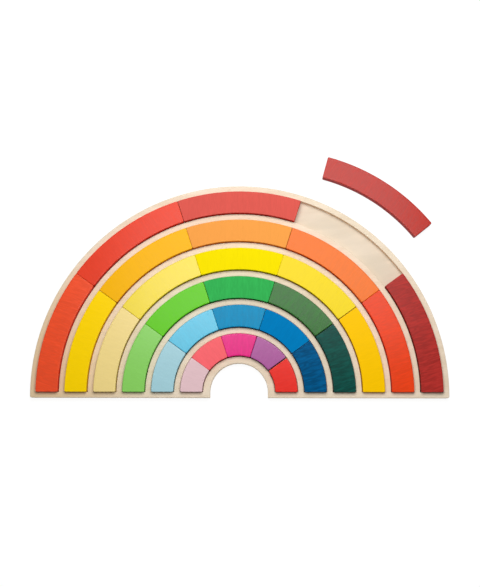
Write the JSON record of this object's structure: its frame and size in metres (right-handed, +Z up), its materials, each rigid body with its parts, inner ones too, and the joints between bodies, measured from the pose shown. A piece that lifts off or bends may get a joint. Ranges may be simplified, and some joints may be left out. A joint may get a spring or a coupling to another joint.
{
  "type": "rainbow tray puzzle",
  "caption": "Flat wooden tray shaped like a rainbow, with concentric arched channels that hold loose stained arc blocks; one block lies beside its empty place.",
  "frame": {"origin": "middle of the tray's footprint on its underside, so the table plane is Z = 0", "axes": "+Z up out of the tray, +Y towards the crown of the arch, +X to the right along the straight edge"},
  "size_m": [0.362, 0.2118, 0.0138],
  "materials": {
    "birch": "matte",
    "shell": "satin",
    "salmon": "satin",
    "magenta": "satin",
    "orchid": "satin",
    "scarlet": "satin",
    "ice": "satin",
    "sky": "satin",
    "azure": "satin",
    "cobalt": "satin",
    "navy": "satin",
    "apple": "satin",
    "lime": "satin",
    "emerald": "satin",
    "moss": "satin",
    "pine": "satin",
    "cream": "satin",
    "primrose": "satin",
    "lemon": "satin",
    "canary": "satin",
    "amber": "satin",
    "gold": "satin",
    "saffron": "satin",
    "apricot": "satin",
    "tangerine": "satin",
    "vermilion": "satin",
    "poppy": "satin",
    "tomato": "satin",
    "coral": "satin",
    "terracotta": "satin",
    "crimson": "satin"
  },
  "bodies": {
    "tray": {"base_board": "birch", "inner_rim": "birch", "ridge_1": "birch", "ridge_2": "birch", "ridge_3": "birch", "ridge_4": "birch", "ridge_5": "birch", "outer_rim": "birch", "rail_left": "birch", "rail_right": "birch"},
    "pink_block_1": {"pink_block_1": "shell"},
    "pink_block_2": {"pink_block_2": "salmon"},
    "pink_block_3": {"pink_block_3": "magenta"},
    "pink_block_4": {"pink_block_4": "orchid"},
    "pink_block_5": {"pink_block_5": "scarlet"},
    "blue_block_1": {"blue_block_1": "ice"},
    "blue_block_2": {"blue_block_2": "sky"},
    "blue_block_3": {"blue_block_3": "azure"},
    "blue_block_4": {"blue_block_4": "cobalt"},
    "blue_block_5": {"blue_block_5": "navy"},
    "green_block_1": {"green_block_1": "apple"},
    "green_block_2": {"green_block_2": "lime"},
    "green_block_3": {"green_block_3": "emerald"},
    "green_block_4": {"green_block_4": "moss"},
    "green_block_5": {"green_block_5": "pine"},
    "yellow_block_1": {"yellow_block_1": "cream"},
    "yellow_block_2": {"yellow_block_2": "primrose"},
    "yellow_block_3": {"yellow_block_3": "lemon"},
    "yellow_block_4": {"yellow_block_4": "canary"},
    "yellow_block_5": {"yellow_block_5": "amber"},
    "orange_block_1": {"orange_block_1": "gold"},
    "orange_block_2": {"orange_block_2": "saffron"},
    "orange_block_3": {"orange_block_3": "apricot"},
    "orange_block_4": {"orange_block_4": "tangerine"},
    "orange_block_5": {"orange_block_5": "vermilion"},
    "red_block_1": {"red_block_1": "poppy"},
    "red_block_2": {"red_block_2": "tomato"},
    "red_block_3": {"red_block_3": "coral"},
    "red_block_4": {"red_block_4": "terracotta"},
    "red_block_5": {"red_block_5": "crimson"}
  },
  "joints": [
    {"name": "pink_block_1_lift", "type": "slide", "parent": "tray", "child": "pink_block_1", "axis": [0, 0, 1], "range_m": [0, 0.03]},
    {"name": "pink_block_2_lift", "type": "slide", "parent": "tray", "child": "pink_block_2", "axis": [0, 0, 1], "range_m": [0, 0.03]},
    {"name": "pink_block_3_lift", "type": "slide", "parent": "tray", "child": "pink_block_3", "axis": [0, 0, 1], "range_m": [0, 0.03]},
    {"name": "pink_block_4_lift", "type": "slide", "parent": "tray", "child": "pink_block_4", "axis": [0, 0, 1], "range_m": [0, 0.03]},
    {"name": "pink_block_5_lift", "type": "slide", "parent": "tray", "child": "pink_block_5", "axis": [0, 0, 1], "range_m": [0, 0.03]},
    {"name": "blue_block_1_lift", "type": "slide", "parent": "tray", "child": "blue_block_1", "axis": [0, 0, 1], "range_m": [0, 0.03]},
    {"name": "blue_block_2_lift", "type": "slide", "parent": "tray", "child": "blue_block_2", "axis": [0, 0, 1], "range_m": [0, 0.03]},
    {"name": "blue_block_3_lift", "type": "slide", "parent": "tray", "child": "blue_block_3", "axis": [0, 0, 1], "range_m": [0, 0.03]},
    {"name": "blue_block_4_lift", "type": "slide", "parent": "tray", "child": "blue_block_4", "axis": [0, 0, 1], "range_m": [0, 0.03]},
    {"name": "blue_block_5_lift", "type": "slide", "parent": "tray", "child": "blue_block_5", "axis": [0, 0, 1], "range_m": [0, 0.03]},
    {"name": "green_block_1_lift", "type": "slide", "parent": "tray", "child": "green_block_1", "axis": [0, 0, 1], "range_m": [0, 0.03]},
    {"name": "green_block_2_lift", "type": "slide", "parent": "tray", "child": "green_block_2", "axis": [0, 0, 1], "range_m": [0, 0.03]},
    {"name": "green_block_3_lift", "type": "slide", "parent": "tray", "child": "green_block_3", "axis": [0, 0, 1], "range_m": [0, 0.03]},
    {"name": "green_block_4_lift", "type": "slide", "parent": "tray", "child": "green_block_4", "axis": [0, 0, 1], "range_m": [0, 0.03]},
    {"name": "green_block_5_lift", "type": "slide", "parent": "tray", "child": "green_block_5", "axis": [0, 0, 1], "range_m": [0, 0.03]},
    {"name": "yellow_block_1_lift", "type": "slide", "parent": "tray", "child": "yellow_block_1", "axis": [0, 0, 1], "range_m": [0, 0.03]},
    {"name": "yellow_block_2_lift", "type": "slide", "parent": "tray", "child": "yellow_block_2", "axis": [0, 0, 1], "range_m": [0, 0.03]},
    {"name": "yellow_block_3_lift", "type": "slide", "parent": "tray", "child": "yellow_block_3", "axis": [0, 0, 1], "range_m": [0, 0.03]},
    {"name": "yellow_block_4_lift", "type": "slide", "parent": "tray", "child": "yellow_block_4", "axis": [0, 0, 1], "range_m": [0, 0.03]},
    {"name": "yellow_block_5_lift", "type": "slide", "parent": "tray", "child": "yellow_block_5", "axis": [0, 0, 1], "range_m": [0, 0.03]},
    {"name": "orange_block_1_lift", "type": "slide", "parent": "tray", "child": "orange_block_1", "axis": [0, 0, 1], "range_m": [0, 0.03]},
    {"name": "orange_block_2_lift", "type": "slide", "parent": "tray", "child": "orange_block_2", "axis": [0, 0, 1], "range_m": [0, 0.03]},
    {"name": "orange_block_3_lift", "type": "slide", "parent": "tray", "child": "orange_block_3", "axis": [0, 0, 1], "range_m": [0, 0.03]},
    {"name": "orange_block_4_lift", "type": "slide", "parent": "tray", "child": "orange_block_4", "axis": [0, 0, 1], "range_m": [0, 0.03]},
    {"name": "orange_block_5_lift", "type": "slide", "parent": "tray", "child": "orange_block_5", "axis": [0, 0, 1], "range_m": [0, 0.03]},
    {"name": "red_block_1_lift", "type": "slide", "parent": "tray", "child": "red_block_1", "axis": [0, 0, 1], "range_m": [0, 0.03]},
    {"name": "red_block_2_lift", "type": "slide", "parent": "tray", "child": "red_block_2", "axis": [0, 0, 1], "range_m": [0, 0.03]},
    {"name": "red_block_3_lift", "type": "slide", "parent": "tray", "child": "red_block_3", "axis": [0, 0, 1], "range_m": [0, 0.03]},
    {"name": "red_block_4_lift", "type": "slide", "parent": "tray", "child": "red_block_4", "axis": [0, 0, 1], "range_m": [0, 0.03]},
    {"name": "red_block_5_lift", "type": "slide", "parent": "tray", "child": "red_block_5", "axis": [0, 0, 1], "range_m": [0, 0.03]}
  ]
}
